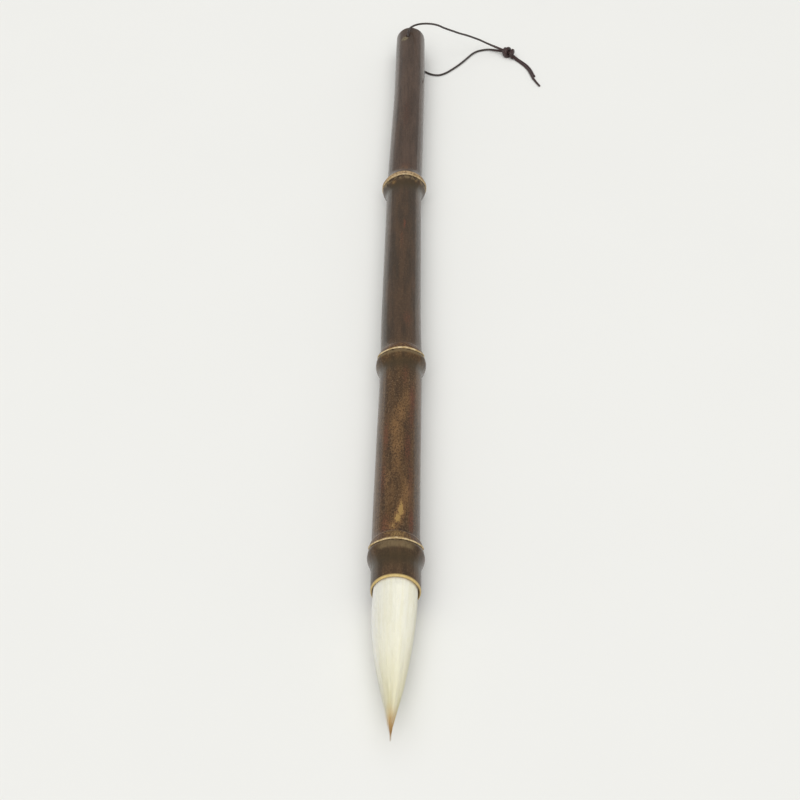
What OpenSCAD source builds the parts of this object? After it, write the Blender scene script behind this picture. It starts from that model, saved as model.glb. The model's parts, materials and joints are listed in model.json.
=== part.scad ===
// Calligraphy brush: a natural bamboo pole with three joints, a pointed hair tuft
// glued into its front end, and a knotted hanging loop of thin cord through its rear end.
// The brush lies along Y with its point toward -Y, resting on its joints at z = 0.
// Every s below is a distance from the mouth of the pole, positive toward the rear.

/* [Pole] */
// Length of the bamboo pole from its mouth to its rear end
pole_length = 250.5; // [235:0.5:265]
// Radius of the plain pole at the mouth end
front_radius = 5.3; // [5.2:0.02:5.32]
// Radius of the plain pole at the rear end
rear_radius = 4.7; // [4.4:0.05:5]
// Radius of the swollen joints, which the brush rests on
swell_radius = 6.25; // [6.1:0.05:6.6]
// Distance of the front joint's swelling from the mouth
front_joint = 9.5; // [9:0.5:11]
// Distance of the middle joint's swelling from the mouth
middle_joint = 74.5; // [60:0.5:90]
// Distance of the rear joint's swelling from the mouth
rear_joint = 155.5; // [130:0.5:180]
// Radius of the hollow inside the pole
lumen_radius = 2.4; // [1.6:0.1:3]
// Radius of the hole that pierces each inner wall
pierced_radius = 0.8; // [0.5:0.1:1.2]

/* [Mouth] */
// Radius of the straight collar behind the mouth, which a brush cap slides over
collar_radius = 5.35; // [5.33:0.01:5.4]
// Length of the straight collar
collar_length = 4.4; // [3.4:0.1:4.6]
// Radius of the socket that holds the hair root
socket_radius = 4.85; // [4.8:0.05:4.95]
// Depth of the socket
socket_depth = 11; // [10.8:0.1:11.4]

/* [Tuft] */
// Length of the hair that stands out of the mouth
tuft_length = 36.5; // [32:0.5:42]
// Radius of the tuft where it leaves the mouth
tuft_radius = 4.75; // [4.6:0.05:4.75]
// Length of the dark core point that stands out of the pale cover hair
bare_point = 7; // [5:0.5:9]

/* [Hanging loop] */
// Radius of the cord
cord_radius = 0.325; // [0.25:0.025:0.35]
// Radius of the cross hole that the cord passes through
cord_hole_radius = 0.8; // [0.7:0.05:1]
// Distance of the cross hole from the rear end
cord_hole_inset = 6.5; // [5:0.5:7]

/* [Hidden] */
$fn = 64;

// Colours
bamboo_brown = "#4a2c1e";
sheath_tan = "#d9b77e";
plug_brown = "#3a2018";
hair_cream = "#efeede";
hair_brown = "#8a5a34";
rosin_amber = "#b5802c";
glue_tan = "#c9b48a";
thread_white = "#e8e2d0";
cord_maroon = "#351a1a";

// Place of the pole: the whole brush is centred along Y
mouth_y = tuft_length - (pole_length + tuft_length) / 2;
axis_z = swell_radius;
joints = [front_joint, middle_joint, rear_joint];

// Swelling of a joint: a hollow taper in front and a rounded shoulder behind
front_taper = 2.2;
front_curve = 1.6;
rear_taper = 2.6;
rear_curve = 2;
swell_reach = 8;
joint_step = 0.5;
plain_step = 8;

// Sheath stub: the collar left behind each swelling's crown where the leaf sheath was trimmed
rim_behind_crown = 0.5;
stub_length = 2.8;
rim_stand = 0.02;
step_stand = 0.3;
stub_thickness = 0.5;

// Inner walls of the pole
wall_front = 2;
wall_rear = 1.2;
front_wall_thickness = 2.6;

// Edges
rear_round = 0.9;
mouth_chamfer = 0.35;
arc_step = 15;

// How far a cutting shape runs past what it cuts
overrun = 1;

// Hair root inside the socket
root_depth = 9;
tied_radius = 4.15;
tie_start = 6.6;
tie_shoulder = 0.4;
thread_inset = 0.75;
thread_radius = 0.3;
thread_sides = 16;
thread_pitch = 0.63;
thread_turns = 3;
thread_gap = 0.01;
seal_thickness = 0.8;
seal_radius = 4.3;
waist_radius = 3.85;
waist_reach = 6;

// Outline of the tuft, and the core's share of its radius
tuft_power = 2.2;
tuft_exponent = 1.3;
core_share_root = 0.6;
core_share_end = 0.96;
point_radius = 0.08;
hair_step = 0.5;
cover_end = tuft_length - bare_point;

// Ball surface on which the tuft turns, centred just ahead of the mouth
bend_ahead = 1;
bend_radius = 8;
bend_gap = 0.1;

// End plug
plug_length = 13;
plug_dome = 0.5;

// Hanging loop
hole_x = -0.8;
hole_y = mouth_y + pole_length - cord_hole_inset;
knot_centre = [33.4, 6.8, 1.5];
knot_turn = -42;
knot_length = 4.4;
knot_radius = 1.45;
cord_sides = 8;

// Routes of the two strands, as [right of the pole's axis, behind the hole, height]:
// each starts at mid-pole in the cross hole, runs through the knot and ends as a bare tail.
upper_route = [
    [hole_x, 0, 6.25], [hole_x, 0, 8.2], [hole_x, 0, 9.8], [hole_x, 0.15, 10.7],
    [hole_x, 0.7, 11.4], [-0.75, 1.6, 11.7], [-0.6, 2.5, 11.8], [-0.25, 3.35, 11.9],
    [0.35, 4, 12.1], [1.2, 4.2, 12.5], [2.2, 3.9, 13], [3.4, 3.2, 13.6],
    [4.8, 2.4, 14.1], [6.3, 1.7, 14.4], [7.8, 1.1, 14.5], [9.4, 0.8, 14.2],
    [11, 0.9, 13.4], [12.7, 1.4, 12.5], [14.3, 2.1, 11.6], [15.8, 3, 10.6],
    [17.3, 4.1, 9.6], [18.8, 5.3, 8.6], [20.3, 6.5, 7.5], [21.8, 7.6, 6.4],
    [23.4, 8.6, 5.3], [25.1, 9.2, 4.2], [26.9, 9.5, 3.2], [28.7, 9.3, 2.5],
    [30.5, 8.7, 2], [32.1, 7.8, 1.8], [33.6, 6.6, 1.6], [34.7, 5.4, 1.1],
    [35.8, 3.9, 0.6], [37, 2.3, 0.4], [38.1, 0.5, 0.4], [39, -1.3, 0.4],
    [39.7, -3.2, 0.4], [40.2, -5.1, 0.4], [40.6, -7, 0.4], [41, -8.9, 0.4],
    [41.6, -10.8, 0.4], [42.3, -12.7, 0.4], [43, -14.5, 0.4]
];
lower_route = [
    [hole_x, 0, 6.25], [hole_x, 0, 4.5], [hole_x, 0, 2.9], [-0.7, -0.1, 1.7], [-0.2, -0.5, 0.8],
    [0.7, -1.3, 0.4], [2, -2.4, 0.4], [3.4, -3.6, 0.4], [4.8, -5, 0.4], [6.2, -6.4, 0.4],
    [7.9, -7.4, 0.4], [9.7, -7.5, 0.4], [11.3, -6.6, 0.4], [12.7, -5.2, 0.4],
    [13.9, -3.7, 0.4], [15.1, -2.1, 0.4], [16.2, -0.5, 0.4], [17.3, 1.2, 0.4],
    [18.3, 2.9, 0.4], [19.3, 4.7, 0.4], [20.3, 6.5, 0.4], [21.4, 8.2, 0.4],
    [22.8, 9.7, 0.4], [24.6, 10.7, 0.4], [26.6, 11, 0.5], [28.5, 10.5, 0.6],
    [30.2, 9.4, 0.9], [31.8, 8.2, 1.2], [33.2, 7, 1.4], [34.9, 5.7, 1],
    [36.4, 4, 0.6], [37.7, 2.5, 0.4], [38.8, 0.8, 0.4], [39.7, -1, 0.4],
    [40.4, -2.9, 0.4], [40.9, -4.8, 0.4], [41.3, -6.7, 0.4], [41.6, -8, 0.4]
];

// ---- Pole ----

// Radius of the pole without its joints
function plain_radius(s) = front_radius + (rear_radius - front_radius) * s / pole_length;

// Share of a joint's swelling at a distance d behind its crown
function swell_share(d) =
    d < 0 ? exp(-pow(-d / front_taper, front_curve)) : exp(-pow(d / rear_taper, rear_curve));

function swell(s, joint) = (swell_radius - plain_radius(joint)) * swell_share(s - joint);

function pole_radius(s) =
    s <= collar_length
        ? collar_radius
        : max(plain_radius(s) + max([for (joint = joints) swell(s, joint)]),
              s < front_joint ? collar_radius : 0);

function near_joint(s) = min([for (joint = joints) abs(s - joint)]) < swell_reach;

// Lays what is drawn along Z down along the brush, with z = 0 at the mouth
module along_brush() {
    translate([0, mouth_y, axis_z]) rotate([-90, 0, 0]) children();
}

module disc(start, end, radius) {
    translate([0, 0, start]) cylinder(h = end - start, r = radius);
}

module ring(start, end, inner, outer) {
    difference() {
        disc(start, end, outer);
        disc(start - overrun, end + overrun, inner);
    }
}

module pole_outline() {
    rear_start = pole_length - rear_round;
    body = [
        for (s = [ceil(collar_length):joint_step:floor(rear_start)])
            if (near_joint(s) || s % plain_step == 0) [pole_radius(s), s]
    ];
    rear_edge = [
        for (a = [0:arc_step:90])
            [rear_radius - rear_round * (1 - cos(a)), rear_start + rear_round * sin(a)]
    ];
    polygon(concat(
        [[0, 0], [collar_radius - mouth_chamfer, 0], [collar_radius, mouth_chamfer]],
        [[collar_radius, collar_length]],
        body,
        rear_edge,
        [[0, pole_length]]
    ));
}

module cross_hole() {
    translate([hole_x, hole_y, -overrun])
        cylinder(h = 2 * (axis_z + overrun), r = cord_hole_radius);
}

module pole_hollows() {
    front_wall_end = socket_depth + front_wall_thickness;
    disc(-overrun, socket_depth, socket_radius);
    disc(front_wall_end, middle_joint - wall_front, lumen_radius);
    disc(middle_joint + wall_rear, rear_joint - wall_front, lumen_radius);
    disc(rear_joint + wall_rear, pole_length + overrun, lumen_radius);
    disc(socket_depth - overrun, rear_joint + wall_rear + overrun, pierced_radius);
}

// The sheath stub of one joint: its trimmed rim faces the tuft, and its rear end is a small step
module stub_collar(joint) {
    rim = joint + rim_behind_crown;
    stub_end = rim + stub_length;
    rim_outer = pole_radius(rim) + rim_stand;
    step_outer = pole_radius(stub_end) + step_stand;
    rotate_extrude() polygon([
        [rim_outer - stub_thickness, rim],
        [rim_outer, rim],
        [step_outer, stub_end],
        [step_outer - stub_thickness, stub_end]
    ]);
}

module culm() {
    color(bamboo_brown) difference() {
        along_brush() difference() {
            rotate_extrude() pole_outline();
            pole_hollows();
            for (joint = joints) stub_collar(joint);
        }
        cross_hole();
    }
}

module sheath_stub(joint) {
    color(sheath_tan) along_brush() stub_collar(joint);
}

module sheath_stub_front() { sheath_stub(front_joint); }
module sheath_stub_middle() { sheath_stub(middle_joint); }
module sheath_stub_rear() { sheath_stub(rear_joint); }

module end_plug() {
    plug_start = pole_length - plug_length;
    dome_start = pole_length - plug_dome;
    color(plug_brown) difference() {
        along_brush() rotate_extrude() polygon(concat(
            [[0, plug_start], [lumen_radius, plug_start]],
            [
                for (a = [0:arc_step:90])
                    [lumen_radius * cos(a), dome_start + plug_dome * sin(a)]
            ]
        ));
        cross_hole();
    }
}

// ---- Hair root in the socket ----

module socket_glue() {
    seal_end = root_depth + seal_thickness;
    color(glue_tan) along_brush() {
        disc(seal_end, socket_depth, socket_radius);
        ring(root_depth, seal_end, seal_radius, socket_radius);
    }
}

module root_seal() {
    color(rosin_amber) along_brush() disc(root_depth, root_depth + seal_thickness, seal_radius);
}

module root_binding_thread() {
    turn_radius = tied_radius + thread_radius + thread_gap;
    first_turn = tie_start + thread_inset;
    color(thread_white) along_brush()
        for (turn = [0:thread_turns - 1])
            translate([0, 0, first_turn + turn * thread_pitch])
                rotate_extrude()
                    translate([turn_radius, 0])
                        circle(r = thread_radius, $fn = thread_sides);
}

// ---- Tuft ----

// Radii at a distance t ahead of the mouth
function tuft_outer(t) =
    t <= 0 ? tuft_radius : tuft_radius * pow(1 - pow(t / tuft_length, tuft_power), tuft_exponent);

function core_share(t) =
    core_share_root + (core_share_end - core_share_root) * min(max(t, 0) / cover_end, 1);

function core_outer(t) = max(tuft_outer(t) * core_share(t), point_radius);

function waist_outer(t) =
    let (full = core_outer(waist_reach))
    t <= 0 ? waist_radius : waist_radius + (full - waist_radius) * t / waist_reach;

function cover_inner(t) = t < waist_reach ? waist_outer(t) : core_outer(t);

// Ball that divides the fixed root of the tuft from its moving front
module bend_ball(radius) {
    translate([0, 0, -bend_ahead]) sphere(r = radius);
}

module core_solid() {
    rotate_extrude() polygon(concat(
        [[0, root_depth], [core_outer(0), root_depth]],
        [for (t = [0:hair_step:tuft_length]) [core_outer(t), -t]],
        [[0, -tuft_length]]
    ));
}

module cover_solid() {
    rotate_extrude() polygon(concat(
        [[waist_radius, root_depth], [tied_radius, root_depth]],
        [[tied_radius, tie_start + tie_shoulder], [tuft_radius, tie_start]],
        [for (t = [0:hair_step:cover_end]) [tuft_outer(t), -t]],
        [for (t = [cover_end:-hair_step:0]) [cover_inner(t), -t]]
    ));
}

module core_hair_root() {
    color(hair_brown) along_brush() intersection() {
        core_solid();
        union() {
            bend_ball(bend_radius - bend_gap / 2);
            disc(0, root_depth + overrun, tuft_radius);
        }
    }
}

module waist_hair() {
    color(hair_cream) along_brush() rotate_extrude() polygon(concat(
        [[core_outer(0), root_depth], [waist_radius, root_depth]],
        [for (t = [0:hair_step:waist_reach]) [waist_outer(t), -t]],
        [for (t = [waist_reach - hair_step:-hair_step:0]) [core_outer(t), -t]]
    ));
}

module cover_hair_root() {
    color(hair_cream) along_brush() intersection() {
        cover_solid();
        union() {
            bend_ball(bend_radius - bend_gap / 2);
            disc(0, root_depth + overrun, tuft_radius + overrun);
        }
    }
}

module core_hair_point() {
    color(hair_brown) along_brush() difference() {
        core_solid();
        bend_ball(bend_radius + bend_gap / 2);
        disc(-bend_ahead, root_depth + overrun, tuft_radius);
    }
}

module cover_hair_tip() {
    color(hair_cream) along_brush() difference() {
        cover_solid();
        bend_ball(bend_radius + bend_gap / 2);
        disc(-bend_ahead, root_depth + overrun, tuft_radius + overrun);
    }
}

// ---- Hanging loop ----

function unit(v) = v / norm(v);

function heading(route, i) = unit(route[min(i + 1, len(route) - 1)] - route[max(i - 1, 0)]);

// A side direction at every point, carried along so that the tube doesn't twist
function side_directions(route, i = 0, last = [0, 1, 0]) =
    i == len(route)
        ? []
        : let (way = heading(route, i), side = unit(last - (last * way) * way))
          concat([side], side_directions(route, i + 1, side));

function tube_ring(centre, way, side) = [
    for (k = [0:cord_sides - 1])
        let (a = 360 * k / cord_sides)
        centre + cord_radius * (cos(a) * side + sin(a) * cross(way, side))
];

module cord_tube(route) {
    rings = len(route);
    sides = side_directions(route);
    points = [for (i = [0:rings - 1]) each tube_ring(route[i], heading(route, i), sides[i])];
    walls = [
        for (i = [0:rings - 2], k = [0:cord_sides - 1])
            let (a = i * cord_sides, b = a + cord_sides, next = (k + 1) % cord_sides)
            [a + k, b + k, b + next, a + next]
    ];
    start_cap = [for (k = [0:cord_sides - 1]) k];
    end_cap = [for (k = [cord_sides - 1:-1:0]) (rings - 1) * cord_sides + k];
    translate([0, hole_y, 0])
        polyhedron(points = points, faces = concat([start_cap, end_cap], walls), convexity = 8);
}

module loop_cord_upper() { color(cord_maroon) cord_tube(upper_route); }
module loop_cord_lower() { color(cord_maroon) cord_tube(lower_route); }

module loop_knot() {
    half = knot_length / 2;
    color(cord_maroon)
        translate([0, hole_y, 0]) translate(knot_centre)
            rotate([0, 0, knot_turn]) rotate([0, 90, 0])
                rotate_extrude() polygon(concat(
                    [[0, -half]],
                    [
                        for (a = [arc_step - 90:arc_step:90 - arc_step])
                            [knot_radius * cos(a), half * sin(a)]
                    ],
                    [[0, half]]
                ));
}

culm();
sheath_stub_front();
sheath_stub_middle();
sheath_stub_rear();
end_plug();
socket_glue();
root_seal();
root_binding_thread();
core_hair_root();
waist_hair();
cover_hair_root();
core_hair_point();
cover_hair_tip();
loop_cord_upper();
loop_cord_lower();
loop_knot();
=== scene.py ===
"""Looks of the calligraphy brush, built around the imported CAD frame.

The brush lies along Y with its tuft toward -Y and its hanging loop on the +X side.
Places along it are given as in the CAD source, in millimetres: s runs rearward from the
mouth of the pole, and t runs forward from the mouth along the tuft. A turn is the angle
round the axis, from the top toward +X. Blender objects are in metres.
"""

import json
import math

import bmesh
import bpy
import numpy as np
from mathutils import Matrix, Vector, noise


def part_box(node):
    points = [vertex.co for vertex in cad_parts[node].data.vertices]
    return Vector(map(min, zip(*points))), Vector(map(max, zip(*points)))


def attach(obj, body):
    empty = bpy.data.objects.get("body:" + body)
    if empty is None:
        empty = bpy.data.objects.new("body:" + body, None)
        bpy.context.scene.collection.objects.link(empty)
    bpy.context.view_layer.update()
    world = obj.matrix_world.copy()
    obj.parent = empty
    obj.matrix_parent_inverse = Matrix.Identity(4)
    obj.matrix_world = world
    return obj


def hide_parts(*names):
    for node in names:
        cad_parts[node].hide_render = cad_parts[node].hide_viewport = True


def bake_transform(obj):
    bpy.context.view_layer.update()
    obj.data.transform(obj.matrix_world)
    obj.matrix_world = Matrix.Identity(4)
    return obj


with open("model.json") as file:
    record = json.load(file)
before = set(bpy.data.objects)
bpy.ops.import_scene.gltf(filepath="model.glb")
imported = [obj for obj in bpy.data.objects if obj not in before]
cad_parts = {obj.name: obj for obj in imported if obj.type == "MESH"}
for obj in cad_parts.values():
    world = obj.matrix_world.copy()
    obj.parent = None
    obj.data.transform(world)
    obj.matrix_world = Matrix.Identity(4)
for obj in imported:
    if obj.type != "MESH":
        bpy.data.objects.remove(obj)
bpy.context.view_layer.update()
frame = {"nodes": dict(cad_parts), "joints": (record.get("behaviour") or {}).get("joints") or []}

MM = 0.001
TURN = 2 * math.pi


# ---- Sizes taken from the frame ----


def joint_point(name):
    return Vector(next(j["pos_m"] for j in frame["joints"] if j["name"] == name))


culm_low, culm_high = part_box("culm")
MOUTH_Y = culm_low.y / MM
AXIS_Z = (culm_low.z + culm_high.z) / 2 / MM
SWELL_RADIUS = (culm_high.x - culm_low.x) / 2 / MM
POLE_LENGTH = (culm_high.y - culm_low.y) / MM
TUFT_LENGTH = MOUTH_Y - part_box("core_hair_point")[0].y / MM
TUFT_RADIUS = (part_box("cover_hair_root")[1].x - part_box("cover_hair_root")[0].x) / 2 / MM
SOCKET_RADIUS = (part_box("socket_glue")[1].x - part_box("socket_glue")[0].x) / 2 / MM
SOCKET_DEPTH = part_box("socket_glue")[1].y / MM - MOUTH_Y
ROOT_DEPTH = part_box("core_hair_root")[1].y / MM - MOUTH_Y
PLUG_RADIUS = (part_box("end_plug")[1].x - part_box("end_plug")[0].x) / 2 / MM
PLUG_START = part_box("end_plug")[0].y / MM - MOUTH_Y
STUBS = ("sheath_stub_front", "sheath_stub_middle", "sheath_stub_rear")
RIMS = [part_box(name)[0].y / MM - MOUTH_Y for name in STUBS]
STUB_LENGTH = (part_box(STUBS[0])[1].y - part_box(STUBS[0])[0].y) / MM
LOOP_AXIS = joint_point("loop_swing") / MM
HOLE_S = LOOP_AXIS.y - MOUTH_Y

# Outline of the pole, as in the CAD source
FRONT_RADIUS = 5.3
REAR_RADIUS = 4.7
COLLAR_RADIUS = 5.35
COLLAR_LENGTH = 4.4
CROWNS = (9.5, 74.5, 155.5)
FRONT_TAPER, FRONT_CURVE = 2.2, 1.6
REAR_TAPER, REAR_CURVE = 2.6, 2.0
REAR_ROUND = 0.9
HOLE_RADIUS = 0.8

# Outline of the tuft, as in the CAD source
TUFT_POWER = 2.2
TUFT_EXPONENT = 1.3
CORE_SHARE_ROOT = 0.6
CORE_SHARE_END = 0.96
WAIST_RADIUS = 3.85
WAIST_REACH = 6.0
BARE_POINT = 7.0


# ---- Camera and light ----

CAMERA_PLACE = (0.0046, -0.3107, 0.2331)
CAMERA_DOWN_DEG = 40.5
CAMERA_LEFT_DEG = 1.04
CAMERA_LENS = 65.25
SENSOR_WIDTH = 36.0

# A sun in front, which looks this many degrees wide, and a softbox overhead
FRONT_PLACE = (-0.01, -0.72, 0.69)
FRONT_STRENGTH = 1.95
FRONT_SPREAD_DEG = 54
OVERHEAD_PLACE = (-0.25, 0.2, 2.2)
OVERHEAD_SIZE = (3.4, 3.4)
OVERHEAD_POWER = 26
ROOM_COLOUR = (1.0, 0.995, 0.98, 1)
ROOM_STRENGTH = 0.36
FLOOR_SIZE = 8


def add_camera():
    """A camera in front of the tuft and above it, which looks rearward along the brush."""
    data = bpy.data.cameras.new("camera")
    data.lens = CAMERA_LENS
    data.sensor_width = SENSOR_WIDTH
    data.clip_start = 0.01
    data.clip_end = 20.0
    camera = bpy.data.objects.new("camera", data)
    camera.location = CAMERA_PLACE
    tilt, left = math.radians(90 - CAMERA_DOWN_DEG), math.radians(CAMERA_LEFT_DEG)
    camera.rotation_euler = (tilt, 0, left)
    bpy.context.scene.collection.objects.link(camera)
    bpy.context.scene.camera = camera


def add_light(name, kind, place, strength):
    """A light that points from its place at the middle of the brush. A sun is far off instead."""
    data = bpy.data.lights.new(name, kind)
    data.energy = strength
    light = bpy.data.objects.new(name, data)
    light.location = place
    light.rotation_euler = (-Vector(place)).to_track_quat("-Z", "Y").to_euler()
    bpy.context.scene.collection.objects.link(light)
    return light


def add_lights():
    """Light from in front and above, so that the shadows stay faint beside the brush."""
    scene = bpy.context.scene
    scene.view_settings.view_transform = "Standard"
    world = bpy.data.worlds.new("studio")
    world.use_nodes = True
    background = world.node_tree.nodes["Background"]
    background.inputs["Color"].default_value = ROOM_COLOUR
    background.inputs["Strength"].default_value = ROOM_STRENGTH
    scene.world = world
    front = add_light("front", "SUN", FRONT_PLACE, FRONT_STRENGTH)
    front.data.angle = math.radians(FRONT_SPREAD_DEG)
    overhead = add_light("overhead", "AREA", OVERHEAD_PLACE, OVERHEAD_POWER)
    overhead.data.shape = "RECTANGLE"
    overhead.data.size, overhead.data.size_y = OVERHEAD_SIZE
    overhead.visible_glossy = False


# ---- Mesh helpers ----


def new_object(name, mesh):
    piece = bpy.data.objects.new(name, mesh)
    bpy.context.scene.collection.objects.link(piece)
    return piece


def smooth(mesh):
    mesh.polygons.foreach_set("use_smooth", [True] * len(mesh.polygons))
    mesh.update()


def face_outward(mesh):
    work = bmesh.new()
    work.from_mesh(mesh)
    bmesh.ops.recalc_face_normals(work, faces=work.faces)
    work.to_mesh(mesh)
    work.free()


def tube_faces(rings, sides, first=0):
    """Quads of one tube whose rings follow each other in the vertex list."""
    ring, side = np.meshgrid(np.arange(rings - 1), np.arange(sides), indexing="ij")
    after = (side + 1) % sides
    corners = [ring * sides + side, ring * sides + after]
    corners += [(ring + 1) * sides + after, (ring + 1) * sides + side]
    return np.stack(corners, axis=-1).reshape(-1, 4) + first


def tube_mesh(name, points, loop=False):
    """A closed mesh from points[ring, side]. With loop, the last ring joins the first."""
    rings, sides = points.shape[:2]
    vertices = points.reshape(-1, 3)
    faces = tube_faces(rings, sides).tolist()
    if loop:
        last = (rings - 1) * sides
        for k in range(sides):
            after = (k + 1) % sides
            faces.append([last + k, last + after, after, k])
    else:
        faces.append(list(range(sides - 1, -1, -1)))
        faces.append([(rings - 1) * sides + k for k in range(sides)])
    mesh = bpy.data.meshes.new(name)
    mesh.from_pydata(vertices.tolist(), [], faces)
    face_outward(mesh)
    smooth(mesh)
    return mesh


def vertices_of(mesh):
    """Every vertex of a mesh in millimetres, as an array."""
    flat = np.zeros(len(mesh.vertices) * 3)
    mesh.vertices.foreach_get("co", flat)
    return flat.reshape(-1, 3) / MM


def paint(mesh, name, values):
    """Stores one number per vertex, for the materials to read."""
    layer = mesh.attributes.new(name, "FLOAT", "POINT")
    layer.data.foreach_set("value", np.asarray(values, dtype=np.float32))


def turns(sides):
    """Evenly spaced turns, one for each side of a tube."""
    return np.arange(sides) * TURN / sides


def run_along(path):
    """How far along a path each of its points lies."""
    gaps = np.linalg.norm(np.diff(path, axis=0), axis=1)
    return np.concatenate([[0], np.cumsum(gaps)])


def fade(value, low, high):
    """0 below low, 1 above high, and smooth between them."""
    share = np.clip((np.asarray(value, dtype=float) - low) / (high - low), 0, 1)
    return share * share * (3 - 2 * share)


def wavering(points, scale, seed):
    """Smooth noise from about -1 to 1 at every point of an (n, 3) array."""
    shift = Vector((seed * 17.3, seed * 5.1, seed * 9.7))
    return np.array([noise.noise(Vector(p) * scale + shift) for p in points])


# ---- The pole ----

# Sideways wander of the bamboo from its straight axis: (s, offset toward +X)
WANDER = (
    (-20, 0), (4, 0), (16, -0.3), (50, -0.25), (74, -0.15),
    (92, -0.55), (156, -0.7), (214, 0.1), (250, 0),
)  # fmt: skip
WANDER_SOFTENING = 7.0

# How much further back the right side of each joint lies than its middle: (s, distance)
LEAN = ((50, 0), (64, 0.3), (100, 0.3), (140, 0.5), (166, 0.5), (190, 0))

# Gap between the skin's rings: (within this distance of a joint, gap), and the gap elsewhere
RING_GAPS = ((3, 0.15), (8, 0.3))
PLAIN_GAP = 0.9
POLE_SIDES = 144
DRILL_SIDES = 40
DRILL_DEPTH = 0.04

# Rounded lip of the mouth, from the socket's wall to the skin: (s, radius)
LIP = (
    (0.25, 4.86), (0.06, 4.89), (0.0, 4.94), (0.0, 5.06),
    (0.04, 5.15), (0.12, 5.24), (0.24, 5.3),
)  # fmt: skip

# Unevenness of the skin: fine fibres, lumps at the joints, a slow sway, and a cut ahead of each rim
FIBRE_RELIEF = 0.018
LUMP_RELIEF = 0.07
SWAY_RELIEF = 0.07
CUT_DEPTH = 0.13
CUT_WIDTH = 0.26

# Each joint's trimmed rim bows: how far behind its mean place it runs on top and at the sides
RIM_TOPS = (-0.2, -0.6, -1.35)
RIM_SIDES = (2.4, 2.7, -0.1)

# Golden scar ahead of each rim: its length, and the turn in degrees where it fades
SCARS = ((2.0, 40), (1.1, 90), (1.3, 120))

# Length of each stub as a share of the CAD's, and how far its sides stand off the pole
STUB_SHARES = (1.0, 1.0, 0.37)
STUB_FLARES = (0.26, 0.24, 0.05)

# How far a stub stands off the pole at its trimmed rim and at its rear lip
RIM_STAND = 0.08
LIP_STAND = 0.26

# Seed of each stub's unevenness, and how much of its surface is bare of stain
STUB_SEEDS = (11, 23, 37)
STUB_BARE = (0.0, 0.0, 0.85)

# Least height of the stubs and the cord, which stay clear of the surface they lie on
UNDERSIDE_Z = 0.02

# Golden and red marks in the stain, and a painted highlight on top behind the rear joint: (s, turn
# in degrees, half length, half turn, strength)
GOLD_MARKS_AND_HIGHLIGHT = (
    (21.2, 12, 1.8, 7, 1.0),
    (19.2, 11, 2.4, 11, 1.15),
    (16.8, 4, 2.4, 13, 1.05),
    (14.4, -6, 2.2, 15, 0.8),
    (14.6, -22, 3.0, 14, 0.4),
    (11.2, 2, 1.6, 17, 0.85),
    (34, -4, 6, 18, 0.45),
    (40, -4, 5, 20, 0.6),
    (46, -8, 5, 20, 0.6),
    (52, 6, 5, 20, 0.62),
    (56, 20, 4, 17, 0.5),
    (25, 24, 6, 14, 0.6),
    (30, -26, 6, 14, 0.45),
    (122, -6, 6, 5, 0.3),
    (95, 150, 14, 30, 0.5),
    (40, 160, 12, 30, 0.6),
    (205, -110, 12, 30, 0.3),
    # Painted highlight on top of the pole behind the rear joint
    (159.5, 0, 3, 45, 0.32),
    (152.9, -34, 0.9, 9, 0.9),
    (153.2, 38, 0.8, 8, 0.5),
)
RED_MARKS_AND_HIGHLIGHT = (
    (57, 36, 6, 14, 0.8),
    (51, 34, 7, 14, 0.6),
    (17, 38, 5, 9, 0.95),
    (29, 34, 10, 12, 0.6),
    (14, -26, 5, 16, 0.8),
    (30, -38, 8, 14, 0.6),
    (44, -34, 7, 12, 0.7),
    (40, 26, 7, 12, 0.7),
    (88, 20, 4, 18, 0.5),
    (131, 5, 2.4, 4, 1.0),
    (124, -3, 6, 7, 0.5),
    (66, 14, 6, 12, 0.5),
    (192, -5, 14, 20, 0.4),
    (105, -150, 10, 24, 0.5),
    # Painted highlight on top of the pole behind the rear joint
    (161, 4, 4, 26, 0.4),
)

# Which internode's stain the pole has: (s, 0 front to 2 rear)
INTERNODES = ((0, 0.7), (9, 0.7), (13, 0), (70, 0), (82, 1), (150, 1), (165, 2), (250, 2))

# Chipped lacquer beside the cross hole: (offset toward +X, s), and how far it reaches
CHIP_PLACE = (LOOP_AXIS.x - 1.1, HOLE_S - 1.3)
CHIP_REACH = 1.7


def wander(s):
    """Sideways offset of the pole's axis, softened so that it bends but doesn't break."""
    places, offsets = zip(*WANDER)
    shifts = np.linspace(-WANDER_SOFTENING, WANDER_SOFTENING, 9)
    s = np.asarray(s, dtype=float)
    softened = sum(np.interp(s + d, places, offsets) for d in shifts) / len(shifts)
    return softened * fade(s, 2, 8)


def plain_radius(s):
    return FRONT_RADIUS + (REAR_RADIUS - FRONT_RADIUS) * s / POLE_LENGTH


def swell_share(d):
    front = np.exp(-((np.maximum(-d, 0) / FRONT_TAPER) ** FRONT_CURVE))
    rear = np.exp(-((np.maximum(d, 0) / REAR_TAPER) ** REAR_CURVE))
    return np.where(d < 0, front, rear)


def pole_radius(s):
    """Radius of the pole at s, with its swellings and the straight collar at its mouth."""
    s = np.asarray(s, dtype=float)
    swells = [(SWELL_RADIUS - plain_radius(c)) * swell_share(s - c) for c in CROWNS]
    radius = plain_radius(s) + np.max(swells, axis=0)
    radius = np.where(s < CROWNS[0], np.maximum(radius, COLLAR_RADIUS), radius)
    return np.where(s <= COLLAR_LENGTH, COLLAR_RADIUS, radius)


def lean(s, turn):
    """How far back a ring around the pole lies at a turn, as natural joints aren't square."""
    return np.interp(s, *zip(*LEAN)) * np.sin(turn)


def rim_line(joint, turn):
    """s of a joint's trimmed rim, which runs further back at the sides than on top."""
    down = fade((1 - np.cos(turn)) / 2, 0, 0.75)
    sweep = 1.25 * (RIM_SIDES[joint] - RIM_TOPS[joint])
    return RIMS[joint] + RIM_TOPS[joint] + sweep * down


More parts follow.
